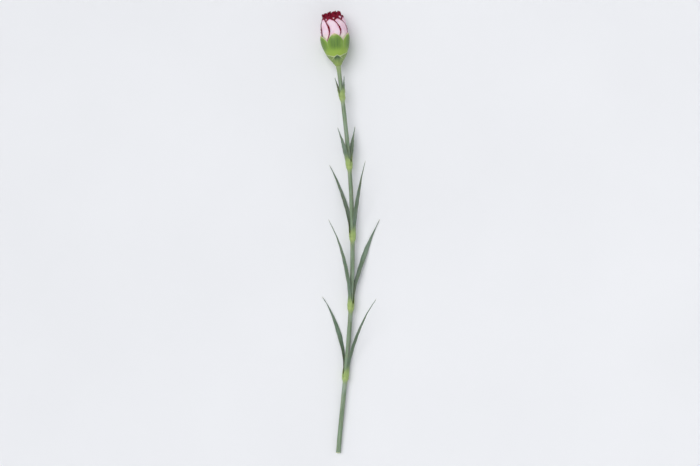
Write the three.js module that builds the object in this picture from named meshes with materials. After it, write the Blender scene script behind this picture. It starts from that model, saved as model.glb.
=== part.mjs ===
// One cut carnation, half open, lying on a flat surface: stem, leaf pairs, epicalyx, calyx and petals.
// Millimetres. +Y runs from the cut end to the bloom, +X is to the right and +Z is up.
// The surface that it lies on is z = 0, and the part is centred over the origin.

import * as THREE from "three";

// ---- Driving sizes ----

// Stem
const STEM_LENGTH = 483; // cut end to the foot of the head, along Y
const STEM_RADIUS = 2.75;
const STEM_BOW = 17.8; // how far the stem bows out to the right
const CUT_SLANT = THREE.MathUtils.degToRad(25);
const NODE_COUNT = 5;
const FIRST_NODE = 42; // foot of the head down to the first swollen node
const NODE_SPACING = 87;
const NODE_RADIUS = 4.5;
const NODE_SPREAD = 3.2; // how far the swelling of a node reaches along the stem

// Receptacle: the stem's widened end inside the head, with the cone that the petals grow from
const RECEPTACLE_RADIUS = 4.6;
const CONE_FOOT = 6; // heights are measured up the flower's axis, from the foot of the head
const CONE_HEIGHT = 7;
const CONE_TOP_RADIUS = 1;

// Calyx: a goblet of one piece with five teeth
const CALYX_FOOT = 3;
const CALYX_FOOT_RADIUS = 5.8;
const CALYX_WALL = 0.7;
const TOOTH_COUNT = 5;
const TOOTH_TIP = 37;
const TOOTH_VALLEY = 28;
const TOOTH_ROUNDNESS = 1.7;
const GOBLET_FULLNESS = 2.3;

// Epicalyx: two pairs of clasping bracts at the foot of the calyx
const BRACT_THICKNESS = 0.4;
const BRACT_CLEARANCE = 0.5; // room for the goblet to swell under a bract
const BRACT_HALF_WIDTH = THREE.MathUtils.degToRad(82);
const INNER_BRACT_TIP = 14.5;
const INNER_BRACT_SIDE = 8.5;
const OUTER_BRACT_TIP = 11;
const OUTER_BRACT_SIDE = 4;
const BRACT_FOOT = -2;

// Bloom
const BLOOM_HEIGHT = 67; // foot of the head to the top of the innermost petals
const BLOOM_RADIUS = 17.4;
const BLOOM_DOME = 9; // how much lower the outermost petals end
const RING_COUNT = 5;
const PETALS_PER_RING = 8;
const PETAL_THICKNESS = 0.4;
const PETAL_HALF_ANGLE = THREE.MathUtils.degToRad(48);
const PETAL_CLEARANCE = 0.34; // left between neighbours where the petals close over the top
const BULGE_RISE = 3; // the petals are furthest out this far above the calyx's tooth tips
const CLAW_HALF_WIDTH = 0.6;
const OUTER_CLAW_RADIUS = 4.4;
const INNER_CLAW_RADIUS = 1.4;
const RING_STEP = 0.18; // rings and twist are shares of the way from the axis to the outermost petal
const PETAL_TWIST = 0.06;
const GUARD_PHASE = THREE.MathUtils.degToRad(-15);
const RING_PHASE = THREE.MathUtils.degToRad(17);

// Leaves: narrow opposite pairs, each pair a quarter turn from the next, listed from the head down
const LEAF_PAIRS = [
  { length: 22, width: 4.5, spread: 8, curl: 2 },
  { length: 47, width: 9, spread: 9, curl: 8 },
  { length: 92, width: 8.5, spread: 11, curl: 12 },
  { length: 112, width: 8, spread: 12, curl: 20 },
  { length: 104, width: 7, spread: 13, curl: 26 },
];
const LEAF_THICKNESS = 0.7;
const LEAF_AZIMUTH = THREE.MathUtils.degToRad(55);
const LEAF_START = 5; // a leaf's foot above the middle of its node
const SHEATH_CLEARANCE = 0.6; // room for the stem under a leaf's clasping foot
const SHEATH_HALF_ANGLE = THREE.MathUtils.degToRad(72);
const SECOND_LEAF_SPREAD = 1.35; // the second leaf of a pair stands off a little more

const GAP = 0.35; // clearance between pieces that touch
const FLOOR_SOFTNESS = 0.5; // how gently a leaf bends where it comes down on the surface

// ---- Finishes ----

const green = (color, roughness) => new THREE.MeshStandardMaterial({ color, roughness, metalness: 0 });
const stemFinish = green("#7f9585", 0.6);
const leafFinish = green("#5c6f5c", 0.65);
const calyxFinish = green("#82a34a", 0.5);
const bractFinish = green("#8ba862", 0.55);
const petalFinish = new THREE.MeshStandardMaterial({
  color: "#edd6e0",
  roughness: 0.75,
  metalness: 0,
  side: THREE.DoubleSide,
});

// ---- Shared shapes ----

const { lerp, smoothstep } = THREE.MathUtils;

function meshOf(name, vertices, triangles, finish) {
  const geometry = new THREE.BufferGeometry().setFromPoints(vertices);
  geometry.setIndex(triangles);
  geometry.computeVertexNormals();
  const mesh = new THREE.Mesh(geometry, finish);
  mesh.name = name;
  return mesh;
}

// Two triangles for the quad a, b, c, d, taken anticlockwise as seen from outside.
const quad = (a, b, c, d) => [a, b, c, a, c, d];

// A thin closed plate. point(u, v) is its outer face, with u from -1 to 1 across and v from 0 to 1 along,
// and its inner face is `thickness` behind that.
function plate(name, point, thickness, across, along, finish) {
  const step = 1e-3;
  const outer = [];
  const inner = [];
  for (let j = 0; j <= along; j++) {
    for (let i = 0; i <= across; i++) {
      const u = (2 * i) / across - 1;
      const v = j / along;
      const acrossStep = point(u + step, v).sub(point(u - step, v));
      const alongStep = point(u, v + step).sub(point(u, v - step));
      const outward = acrossStep.cross(alongStep).normalize();
      const here = point(u, v);
      outer.push(here);
      inner.push(here.clone().addScaledVector(outward, -thickness));
    }
  }
  const o = (i, j) => j * (across + 1) + i;
  const n = (i, j) => outer.length + o(i, j);
  const triangles = [];
  for (let j = 0; j < along; j++) {
    for (let i = 0; i < across; i++) {
      triangles.push(...quad(o(i, j), o(i + 1, j), o(i + 1, j + 1), o(i, j + 1)));
      triangles.push(...quad(n(i, j), n(i, j + 1), n(i + 1, j + 1), n(i + 1, j)));
    }
  }
  for (let i = 0; i < across; i++) {
    triangles.push(...quad(o(i + 1, 0), o(i, 0), n(i, 0), n(i + 1, 0)));
    triangles.push(...quad(o(i, along), o(i + 1, along), n(i + 1, along), n(i, along)));
  }
  for (let j = 0; j < along; j++) {
    triangles.push(...quad(o(0, j), o(0, j + 1), n(0, j + 1), n(0, j)));
    triangles.push(...quad(o(across, j + 1), o(across, j), n(across, j), n(across, j + 1)));
  }
  return meshOf(name, [...outer, ...inner], triangles, finish);
}

// A solid through rings of points: its ends are capped, or the last ring joins the first one.
function loft(name, rings, endsJoined, finish) {
  const sides = rings[0].length;
  const vertices = rings.flat();
  const at = (i, j) => (j % rings.length) * sides + (i % sides);
  const triangles = [];
  const spans = endsJoined ? rings.length : rings.length - 1;
  for (let j = 0; j < spans; j++) {
    for (let i = 0; i < sides; i++) {
      triangles.push(...quad(at(i, j), at(i + 1, j), at(i + 1, j + 1), at(i, j + 1)));
    }
  }
  if (!endsJoined) {
    const last = rings.length - 1;
    const middle = (ring) => ring.reduce((sum, p) => sum.add(p), new THREE.Vector3()).divideScalar(sides);
    const foot = vertices.push(middle(rings[0])) - 1;
    const top = vertices.push(middle(rings[last])) - 1;
    for (let i = 0; i < sides; i++) {
      triangles.push(foot, at(i + 1, 0), at(i, 0));
      triangles.push(top, at(i, last), at(i + 1, last));
    }
  }
  return meshOf(name, vertices, triangles, finish);
}

// ---- Outlines of the head ----

const CALYX_MOUTH_RADIUS = BLOOM_RADIUS + GAP + CALYX_WALL;

// The calyx's outer radius: a goblet that opens fast at its foot and stands upright at its mouth.
function calyxRadius(height) {
  const rise = (height - CALYX_FOOT) / (TOOTH_TIP - CALYX_FOOT);
  const fullness = 1 - Math.max(1 - rise, 0) ** GOBLET_FULLNESS;
  return lerp(CALYX_FOOT_RADIUS, CALYX_MOUTH_RADIUS, fullness);
}

// What the bracts clasp: the calyx, and below its foot a taper down to the stem.
function claspedRadius(height) {
  if (height > CALYX_FOOT) return calyxRadius(height);
  const taper = (height - BRACT_FOOT) / (CALYX_FOOT - BRACT_FOOT);
  return lerp(STEM_RADIUS + GAP, CALYX_FOOT_RADIUS, taper);
}

// A point of the head: azimuth 0 faces up and 90 degrees faces right, about the flower's axis.
const headPoint = (radius, azimuth, height) =>
  new THREE.Vector3(radius * Math.cos(azimuth), radius * Math.sin(azimuth), height);

// ---- Stem: one piece with its swollen nodes and the receptacle ----

// The stem bows to one side, and rises from lying on its cut end to the axis of the lying calyx.
const bellyRadius = calyxRadius(TOOTH_VALLEY);
const centreline = new THREE.CatmullRomCurve3(
  Array.from({ length: 15 }, (_, i) => {
    const share = i / 14;
    const rise = (share * STEM_LENGTH) / (STEM_LENGTH + TOOTH_VALLEY);
    return new THREE.Vector3(
      STEM_BOW * Math.sin(Math.PI * share ** 1.1),
      STEM_LENGTH * share,
      lerp(STEM_RADIUS, bellyRadius, rise),
    );
  }),
);
centreline.arcLengthDivisions = 800;
const stemArc = centreline.getLength();

// Place and directions on the stem, `drop` below the foot of the head. Above the foot it runs straight on.
function stemFrame(drop) {
  const share = THREE.MathUtils.clamp(1 - drop / stemArc, 0, 1);
  const along = centreline.getTangentAt(share);
  const right = new THREE.Vector3().crossVectors(along, new THREE.Vector3(0, 0, 1)).normalize();
  const up = new THREE.Vector3().crossVectors(right, along);
  const middle = centreline.getPointAt(share);
  middle.addScaledVector(along, Math.max(-drop, 0));
  const outward = (azimuth) =>
    up.clone().multiplyScalar(Math.cos(azimuth)).addScaledVector(right, Math.sin(azimuth));
  return { middle, along, right, up, outward };
}

const nodeDrops = Array.from({ length: NODE_COUNT }, (_, i) => FIRST_NODE + i * NODE_SPACING);

function stemRadius(drop) {
  const swelling = nodeDrops.map((node) => Math.exp(-(((drop - node) / NODE_SPREAD) ** 2)));
  const widening = smoothstep(-drop, -3, CALYX_FOOT);
  const shaft = lerp(STEM_RADIUS, RECEPTACLE_RADIUS, widening);
  return shaft + (NODE_RADIUS - STEM_RADIUS) * Math.max(...swelling);
}

function makeStem() {
  const sides = 10;
  const ringSpan = NODE_SPACING / 4;
  const stations = new Set([stemArc, 3, 1, -1, -CALYX_FOOT, -CONE_FOOT]);
  for (const node of nodeDrops) {
    for (const offset of [-2, -1, -0.4, 0.4, 1, 2]) stations.add(node + offset * NODE_SPREAD);
    for (const span of [1, 2, 3]) stations.add(node + span * ringSpan);
  }
  stations.add(FIRST_NODE / 2);
  const drops = [...stations].filter((drop) => drop <= stemArc).sort((a, b) => b - a);
  const ring = (drop, radius, slant) => {
    const { middle, along, outward } = stemFrame(drop);
    return Array.from({ length: sides }, (_, i) => {
      const azimuth = (2 * Math.PI * i) / sides;
      const shift = radius * Math.cos(azimuth) * Math.tan(slant);
      return middle.clone().addScaledVector(outward(azimuth), radius).addScaledVector(along, shift);
    });
  };
  const rings = drops.map((drop, i) => ring(drop, stemRadius(drop), i === 0 ? CUT_SLANT : 0));
  rings.push(ring(-CONE_FOOT - CONE_HEIGHT, CONE_TOP_RADIUS, 0));
  return loft("stem", rings, false, stemFinish);
}

// ---- Leaves ----

// One leaf: a channelled blade that clasps the stem at its foot, stands off it and curls outward, and
// lies along the surface where it would reach below it.
function makeLeaf(name, nodeDrop, azimuth, { length, width, spread, curl }) {
  const widestAt = 0.35;
  const footDrop = nodeDrop - LEAF_START;
  const steps = 60;
  const footRadius = stemRadius(footDrop) + SHEATH_CLEARANCE + LEAF_THICKNESS;
  const lean = (t) => THREE.MathUtils.degToRad(spread * smoothstep(t, 0.04, 0.3) + curl * t * t);
  const path = [{ up: 0, out: footRadius }];
  for (let i = 0; i < steps; i++) {
    const angle = lean((i + 0.5) / steps);
    const last = path[i];
    path.push({
      up: last.up + (length / steps) * Math.cos(angle),
      out: last.out + (length / steps) * Math.sin(angle),
    });
  }
  const sheathWidth = 2 * footRadius * SHEATH_HALF_ANGLE;
  const bladeWidth = (t) =>
    width * (t < widestAt ? 1 : 1 - ((t - widestAt) / (1 - widestAt)) ** 2.4) + 0.4;
  const point = (u, v) => {
    const t = THREE.MathUtils.clamp(v, 0, 1);
    const place = t * steps;
    const i = Math.min(Math.floor(place), steps - 1);
    const upTo = lerp(path[i].up, path[i + 1].up, place - i) + (v - t) * length;
    const out = lerp(path[i].out, path[i + 1].out, place - i);
    const frame = stemFrame(footDrop - upTo);
    const radial = frame.outward(azimuth);
    const sideways = frame.outward(azimuth + Math.PI / 2);
    const open = smoothstep(t, 0.02, 0.2);
    const across = lerp(sheathWidth, bladeWidth(t), open);
    const curvature = lerp(1 / footRadius, 0.5 / width, open);
    const angle = (u * across * curvature) / 2;
    const normal = radial.clone().multiplyScalar(Math.cos(lean(t)));
    normal.addScaledVector(frame.along, -Math.sin(lean(t)));
    const here = frame.middle.clone().addScaledVector(radial, out);
    here.addScaledVector(sideways, Math.sin(angle) / curvature);
    here.addScaledVector(normal, (Math.cos(angle) - 1) / curvature);
    const clear = here.z - LEAF_THICKNESS;
    here.z = LEAF_THICKNESS + FLOOR_SOFTNESS * Math.log(1 + Math.exp(clear / FLOOR_SOFTNESS));
    return here;
  };
  return plate(name, point, LEAF_THICKNESS, 4, 9, leafFinish);
}

function makeLeaves() {
  return LEAF_PAIRS.flatMap((pair, i) => {
    const azimuth = i % 2 ? Math.PI - LEAF_AZIMUTH : LEAF_AZIMUTH;
    const looser = { ...pair, spread: pair.spread * SECOND_LEAF_SPREAD };
    const name = `leaf_pair${i + 1}`;
    return [
      makeLeaf(`${name}_right`, nodeDrops[i], azimuth, i % 2 ? looser : pair),
      makeLeaf(`${name}_left`, nodeDrops[i], azimuth + Math.PI, i % 2 ? pair : looser),
    ];
  });
}

// ---- Calyx ----

function makeCalyx() {
  const columns = 6 * TOOTH_COUNT;
  const rows = 6;
  const toothPitch = (2 * Math.PI) / TOOTH_COUNT;
  const rim = (azimuth) => {
    const turn = azimuth / toothPitch;
    const fromTip = 2 * Math.abs(turn - Math.round(turn));
    return lerp(TOOTH_TIP, TOOTH_VALLEY, fromTip ** TOOTH_ROUNDNESS);
  };
  const ring = (share, wall) =>
    Array.from({ length: columns }, (_, i) => {
      const azimuth = (2 * Math.PI * i) / columns;
      const height = lerp(CALYX_FOOT, rim(azimuth), share);
      return headPoint(calyxRadius(height) - wall, azimuth, height);
    });
  const shares = Array.from({ length: rows + 1 }, (_, j) => (j / rows) ** 1.2);
  const outside = shares.map((share) => ring(share, 0));
  const inside = shares.map((share) => ring(share, CALYX_WALL)).reverse();
  return loft("calyx", [...outside, ...inside], true, calyxFinish);
}

// ---- Epicalyx ----

function makeBract(name, azimuth, layer, tip, side) {
  const radiusOver = (layer + 1) * (BRACT_CLEARANCE + BRACT_THICKNESS);
  const point = (u, v) => {
    const margin = lerp(side, tip, Math.max(1 - Math.abs(u), 0) ** 1.3);
    const height = lerp(BRACT_FOOT, margin, v);
    const radius = claspedRadius(height) + radiusOver;
    return headPoint(radius, azimuth + u * BRACT_HALF_WIDTH, height);
  };
  return plate(name, point, BRACT_THICKNESS, 10, 6, bractFinish);
}

function makeBracts() {
  const quarter = Math.PI / 2;
  return [
    makeBract("bract_inner_right", quarter, 0, INNER_BRACT_TIP, INNER_BRACT_SIDE),
    makeBract("bract_inner_left", -quarter, 0, INNER_BRACT_TIP, INNER_BRACT_SIDE),
    makeBract("bract_outer_top", 0, 1, OUTER_BRACT_TIP, OUTER_BRACT_SIDE),
    makeBract("bract_outer_bottom", 2 * quarter, 1, OUTER_BRACT_TIP, OUTER_BRACT_SIDE),
  ];
}

// ---- Petals ----

function clawRadiusAt(depth) {
  return lerp(INNER_CLAW_RADIUS, OUTER_CLAW_RADIUS, depth);
}

// The height at which a petal's claw stands on the receptacle's cone.
function petalFoot(depth) {
  const coneSlope = (RECEPTACLE_RADIUS - CONE_TOP_RADIUS) / CONE_HEIGHT;
  return CONE_FOOT + (RECEPTACLE_RADIUS - clawRadiusAt(depth) + PETAL_THICKNESS) / coneSlope + GAP;
}

function petalTip(depth) {
  return BLOOM_HEIGHT - BLOOM_DOME * depth * depth;
}

// The share of a petal's length at which it is furthest out. That is above the calyx's teeth, and far
// enough up that the petals, as they close over the top, still leave their clearance between them.
function petalBulge() {
  const guardDepth = 1 - PETAL_TWIST;
  const foot = petalFoot(guardDepth);
  const aboveTeeth = (TOOTH_TIP + BULGE_RISE - foot) / (petalTip(guardDepth) - foot);
  const tipSpread = (PETAL_THICKNESS + PETAL_CLEARANCE) / PETAL_TWIST;
  const closing = (BLOOM_RADIUS - tipSpread) / (BLOOM_RADIUS - OUTER_CLAW_RADIUS + INNER_CLAW_RADIUS);
  return Math.max(aboveTeeth, 1 / (1 + Math.sqrt(closing)));
}

const bulge = petalBulge();

// Every petal lies on one family of nested cups. depth is 0 at the axis and 1 at the outermost cup, and
// share is 0 at a petal's claw and 1 at its fringe, so petals at different depths never meet.
function cupPoint(share, depth, azimuth) {
  const cupRadius = BLOOM_RADIUS * depth;
  const radius = cupRadius - (cupRadius - clawRadiusAt(depth)) * (1 - share / bulge) ** 2;
  return headPoint(radius, azimuth, lerp(petalFoot(depth), petalTip(depth), share));
}

// A narrow claw that widens into a broad blade with a rounded top. Each petal's right margin lies over
// its neighbour and its left margin under the other one.
function makePetal(name, depth, azimuth, across, along) {
  const clawAngle = CLAW_HALF_WIDTH / clawRadiusAt(depth);
  const point = (u, v) => {
    const share = v * (1 - 0.2 * Math.abs(u) ** 2.2);
    const narrowing = 1 - 0.3 * Math.max((share - bulge) / (1 - bulge), 0) ** 2;
    const halfAngle = lerp(clawAngle, PETAL_HALF_ANGLE, smoothstep(share, 0.15, bulge)) * narrowing;
    const twist = PETAL_TWIST * smoothstep(share, 0.1, 0.35);
    return cupPoint(share, depth + u * twist, azimuth + u * halfAngle);
  };
  return plate(name, point, PETAL_THICKNESS, across, along, petalFinish);
}

function makePetals() {
  const petals = [];
  for (let ring = 0; ring < RING_COUNT; ring++) {
    const depth = 1 - PETAL_TWIST - ring * RING_STEP;
    const ringName = ring === 0 ? "guard_petal" : `petal_ring${ring + 1}`;
    const [across, along] = ring < 2 ? [6, 7] : [4, 6];
    for (let i = 0; i < PETALS_PER_RING; i++) {
      const azimuth = GUARD_PHASE + ring * RING_PHASE + (2 * Math.PI * i) / PETALS_PER_RING;
      petals.push(makePetal(`${ringName}_${i + 1}`, depth, azimuth, across, along));
    }
  }
  return petals;
}

// ---- Assembly ----

const head = new THREE.Group();
const { middle: headFoot, along: axis, right: headRight, up: headUp } = stemFrame(0);
head.position.copy(headFoot);
head.quaternion.setFromRotationMatrix(new THREE.Matrix4().makeBasis(headUp, headRight, axis));
head.add(makeCalyx(), ...makeBracts(), ...makePetals());

const lying = new THREE.Group();
lying.add(makeStem(), ...makeLeaves(), head);
lying.updateMatrixWorld(true);
const extent = new THREE.Box3().setFromObject(lying, true);
const centre = extent.getCenter(new THREE.Vector3());
lying.position.set(-centre.x, -centre.y, -extent.min.z);

const carnation = new THREE.Group();
carnation.add(lying);

export default carnation;
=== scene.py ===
import bmesh
import bpy
import numpy as np
from mathutils import Matrix, Vector


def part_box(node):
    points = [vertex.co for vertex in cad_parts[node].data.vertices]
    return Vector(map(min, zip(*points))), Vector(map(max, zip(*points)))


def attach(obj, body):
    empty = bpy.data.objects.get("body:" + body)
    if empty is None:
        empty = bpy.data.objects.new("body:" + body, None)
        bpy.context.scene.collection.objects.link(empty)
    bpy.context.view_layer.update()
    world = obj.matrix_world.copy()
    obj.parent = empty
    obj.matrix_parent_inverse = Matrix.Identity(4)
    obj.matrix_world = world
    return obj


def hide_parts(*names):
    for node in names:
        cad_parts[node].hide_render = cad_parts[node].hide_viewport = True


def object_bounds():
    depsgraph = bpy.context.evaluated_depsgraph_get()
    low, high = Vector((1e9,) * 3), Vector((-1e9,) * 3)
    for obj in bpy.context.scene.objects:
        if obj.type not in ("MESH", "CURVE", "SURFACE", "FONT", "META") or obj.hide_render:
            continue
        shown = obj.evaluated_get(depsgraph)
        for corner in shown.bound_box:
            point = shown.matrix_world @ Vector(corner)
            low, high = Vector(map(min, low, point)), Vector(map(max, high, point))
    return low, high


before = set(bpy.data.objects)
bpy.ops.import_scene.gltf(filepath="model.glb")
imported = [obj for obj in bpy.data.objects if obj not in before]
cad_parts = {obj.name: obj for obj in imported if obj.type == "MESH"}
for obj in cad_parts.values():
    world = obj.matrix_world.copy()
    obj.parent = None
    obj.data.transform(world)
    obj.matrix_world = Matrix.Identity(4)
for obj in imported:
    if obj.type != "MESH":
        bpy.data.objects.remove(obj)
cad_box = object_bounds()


# ---- Stem ----
# The stem is one grown piece: a slim solid shaft with a powdery blue-green wax on its skin, swollen and
# yellow-green at each joint where a leaf pair sits, and cut slantwise with a knife at its foot.

MILLIMETRE = Matrix.Scale(0.001, 4)  # every size is in millimetres until a mesh is put in its place
FULL_TURN = 6.28319  # in radians
STATION_STEP = 1.5  # between the sections at which the solid stem's girth and bow are read
FIRST_STATION = 1.4  # above the cut
LAST_STATION = 0.4  # below the stem's top
STEM_SIDES = 40
STEM_RIBS = 9
RIB_DEPTH = 0.05
SKIN_WANDER = 0.3  # how far the skin strays in and out
FOOT_GIRTH = 1.05  # the shaft's radius at its foot, as a share of its middling one
STEM_TAPER = 0.12  # and how much of that share is gone at the head
NECK_FLARE = 0.55  # the shaft widens by this much under the head
NECK_REACH = 4.5
JOINT_SWELLING = 1.3  # a joint is at least this many times the shaft's radius
JOINT_REACH_BELOW = 2.6
JOINT_REACH_ABOVE = 4.0
JOINT_GREEN = (0.335, 0.445, 0.125)
GLOW_REACH_BELOW = 5.0  # how far from a joint its yellow-green spreads
GLOW_REACH_ABOVE = 9.0
NECK_GLOW = 0.55
KNIFE_SLANT = 0.47  # rise of the cut across its width
CUT_REACH = 6.0  # how far up the stem the slant of the cut fades out
CUT_RINGS = ((0.3, 0.0003), (0.55, 0.0004), (0.75, 0.0005))  # how deep in the pith, and metres inwards


class Field:
    """A socket of a geometry or shader tree that takes part in plain arithmetic."""

    def __init__(self, socket):
        self.socket = socket

    def __add__(self, other):
        return calc("ADD", self, other)

    def __radd__(self, other):
        return calc("ADD", other, self)

    def __sub__(self, other):
        return calc("SUBTRACT", self, other)

    def __rsub__(self, other):
        return calc("SUBTRACT", other, self)

    def __mul__(self, other):
        return calc("MULTIPLY", self, other)

    def __rmul__(self, other):
        return calc("MULTIPLY", other, self)

    def __truediv__(self, other):
        return calc("DIVIDE", self, other)

    def __pow__(self, other):
        return calc("POWER", self, other)

    def __abs__(self):
        return calc("ABSOLUTE", self)


def add_node(tree, kind, inputs=None, **settings):
    """Adds a node, with its settings, and feeds its inputs, each by its name or its number."""
    made = tree.nodes.new(kind)
    for name, value in settings.items():
        setattr(made, name, value)
    for slot, value in (inputs or {}).items():
        if isinstance(value, Field):
            tree.links.new(value.socket, made.inputs[slot])
        else:
            made.inputs[slot].default_value = value
    return made


def calc(operation, *values):
    tree = next(v for v in values if isinstance(v, Field)).socket.id_data
    made = add_node(tree, "ShaderNodeMath", dict(enumerate(values)), operation=operation)
    return Field(made.outputs[0])


def smooth(value, low, high):
    """0 below low, 1 above high, and a soft step between them."""
    inputs = {0: value, 1: low, 2: high}
    made = add_node(value.socket.id_data, "ShaderNodeMapRange", inputs, interpolation_type="SMOOTHSTEP")
    return Field(made.outputs[0])


def point(tree, x, y, z):
    return Field(add_node(tree, "ShaderNodeCombineXYZ", {0: x, 1: y, 2: z}).outputs[0])


def parts_of(vector):
    made = add_node(vector.socket.id_data, "ShaderNodeSeparateXYZ", {0: vector})
    return [Field(socket) for socket in made.outputs]


def vector_calc(operation, *values):
    tree = next(v for v in values if isinstance(v, Field)).socket.id_data
    made = add_node(tree, "ShaderNodeVectorMath", dict(enumerate(values)), operation=operation)
    return Field(made.outputs[0])


def stretched(vector, factor):
    """A vector times a number, either of which may differ from place to place."""
    inputs = {0: vector, 3: factor}
    made = add_node(vector.socket.id_data, "ShaderNodeVectorMath", inputs, operation="SCALE")
    return Field(made.outputs[0])


def noise(vector, scale=1.0, detail=2.0, roughness=0.5):
    """Smooth noise about 0, from roughly -0.5 to 0.5, and the same as a vector."""
    inputs = {"Vector": vector, "Scale": scale, "Detail": detail, "Roughness": roughness}
    made = add_node(vector.socket.id_data, "ShaderNodeTexNoise", inputs)
    return Field(made.outputs[0]) - 0.5, vector_calc("SUBTRACT", Field(made.outputs[1]), (0.5, 0.5, 0.5))


def shape_tree(name, *sizes):
    """A geometry tree with the named sizes as inputs, each as a field."""
    tree = bpy.data.node_groups.new(name, "GeometryNodeTree")
    tree.interface.new_socket("Geometry", in_out="OUTPUT", socket_type="NodeSocketGeometry")
    tree.interface.new_socket("Geometry", in_out="INPUT", socket_type="NodeSocketGeometry")
    for size in sizes:
        tree.interface.new_socket(size, in_out="INPUT", socket_type="NodeSocketFloat")
    inlet = tree.nodes.new("NodeGroupInput")
    return tree, [Field(inlet.outputs[i]) for i in range(len(sizes) + 1)]


def kept_as(shape, name, value, kind="FLOAT", domain="POINT"):
    """Stores a field on the shape under a name that the material can read."""
    inputs = {"Geometry": shape, "Name": name, "Value": value}
    tree = shape.socket.id_data
    made = add_node(tree, "GeometryNodeStoreNamedAttribute", inputs, data_type=kind, domain=domain)
    return Field(made.outputs[0])


def named(tree, name, kind="FLOAT"):
    made = add_node(tree, "GeometryNodeInputNamedAttribute", {"Name": name}, data_type=kind)
    return Field(made.outputs[0])


def moved(shape, position=None, offset=None):
    inputs = {"Geometry": shape}
    if position:
        inputs["Position"] = position
    if offset:
        inputs["Offset"] = offset
    return Field(add_node(shape.socket.id_data, "GeometryNodeSetPosition", inputs).outputs[0])


def end_tree(shape, material):
    """Ends a tree: smooth faces, real geometry, its material."""
    tree = shape.socket.id_data
    rounded = add_node(tree, "GeometryNodeSetShadeSmooth", {"Geometry": shape})
    real = add_node(tree, "GeometryNodeRealizeInstances", {"Geometry": Field(rounded.outputs[0])})
    finished = add_node(tree, "GeometryNodeSetMaterial", {"Geometry": Field(real.outputs[0])})
    finished.inputs["Material"].default_value = material
    outlet = tree.nodes.new("NodeGroupOutput")
    tree.links.new(finished.outputs[0], outlet.inputs[0])


def grown(name, tree, place, sizes, guide=None):
    """A plain mesh piece from a tree: its sizes are set, it is evaluated once and put in its place."""
    piece = bpy.data.objects.new(name, guide or bpy.data.meshes.new(name))
    bpy.context.scene.collection.objects.link(piece)
    modifier = piece.modifiers.new("shape", "NODES")
    modifier.node_group = tree
    for item in tree.interface.items_tree:
        if item.in_out == "INPUT" and item.name in sizes:
            modifier[item.identifier] = float(sizes[item.name])
    evaluated = piece.evaluated_get(bpy.context.evaluated_depsgraph_get())
    mesh = bpy.data.meshes.new_from_object(evaluated)
    piece.modifiers.clear()
    piece.data = mesh
    mesh.transform(place)
    mesh.name = name
    return piece


def guide_line(points, **values):
    """A line of points that carries a value, or a direction, at each point."""
    line = bpy.data.meshes.new("guide")
    line.from_pydata([tuple(p) for p in points], [(i, i + 1) for i in range(len(points) - 1)], [])
    for name, numbers in values.items():
        kind = "FLOAT" if np.ndim(numbers) == 1 else "FLOAT_VECTOR"
        layer = line.attributes.new(name, kind, "POINT")
        field = "value" if kind == "FLOAT" else "vector"
        layer.data.foreach_set(field, np.ravel(numbers).astype(np.float32))
    return line


def triangles_of(node):
    """A CAD node's triangles."""
    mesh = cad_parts[node].data
    corners = np.zeros(len(mesh.loops), np.int32)
    mesh.loops.foreach_get("vertex_index", corners)
    places = np.zeros(3 * len(mesh.vertices), np.float32)
    mesh.vertices.foreach_get("co", places)
    return 1000.0 * places.reshape(-1, 3)[corners].reshape(-1, 3, 3)


def section(triangles, place, direction):
    """Where a plane cuts the triangles: one point for each edge that it crosses."""
    side = (triangles - place) @ np.asarray(direction, float)
    cuts = []
    for a, b in ((0, 1), (1, 2), (2, 0)):
        crossed = side[:, a] * side[:, b] < 0
        share = side[crossed, a] / (side[crossed, a] - side[crossed, b])
        start = triangles[crossed, a]
        cuts.append(start + share[:, None] * (triangles[crossed, b] - start))
    return np.concatenate(cuts)


def new_material(name, roughness, **constants):
    """A material, its tree and its shader; constants are set on the shader's own sockets."""
    material = bpy.data.materials.new(name)
    material.use_nodes = True
    shader = material.node_tree.nodes["Principled BSDF"]
    shader.inputs["Roughness"].default_value = roughness
    for socket, value in constants.items():
        shader.inputs[socket.replace("_", " ")].default_value = value
    return material, material.node_tree, shader


def colour_mix(tree, share, first, second):
    made = add_node(tree, "ShaderNodeMix", data_type="RGBA", clamp_factor=True)
    for slot, value in ((0, share), (6, first), (7, second)):
        if isinstance(value, Field):
            tree.links.new(value.socket, made.inputs[slot])
        else:
            made.inputs[slot].default_value = (*value, 1.0) if slot else value
    return Field(made.outputs[2])


def kept(tree, name):
    """An attribute of the piece, as its material reads it."""
    return Field(add_node(tree, "ShaderNodeAttribute", attribute_name=name).outputs["Fac"])


def object_place(tree, scale):
    """Object coordinates in millimetres, stretched by a scale on each axis."""
    place = Field(add_node(tree, "ShaderNodeTexCoord").outputs["Object"])
    return vector_calc("MULTIPLY", place, tuple(1000.0 * s for s in scale))


def finish_surface(tree, shader, colour, height=None, strength=0.3, distance=0.0003):
    tree.links.new(colour.socket, shader.inputs["Base Color"])
    if height:
        relief = {"Height": height, "Strength": strength, "Distance": distance}
        bump = add_node(tree, "ShaderNodeBump", relief)
        tree.links.new(bump.outputs[0], shader.inputs["Normal"])


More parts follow.
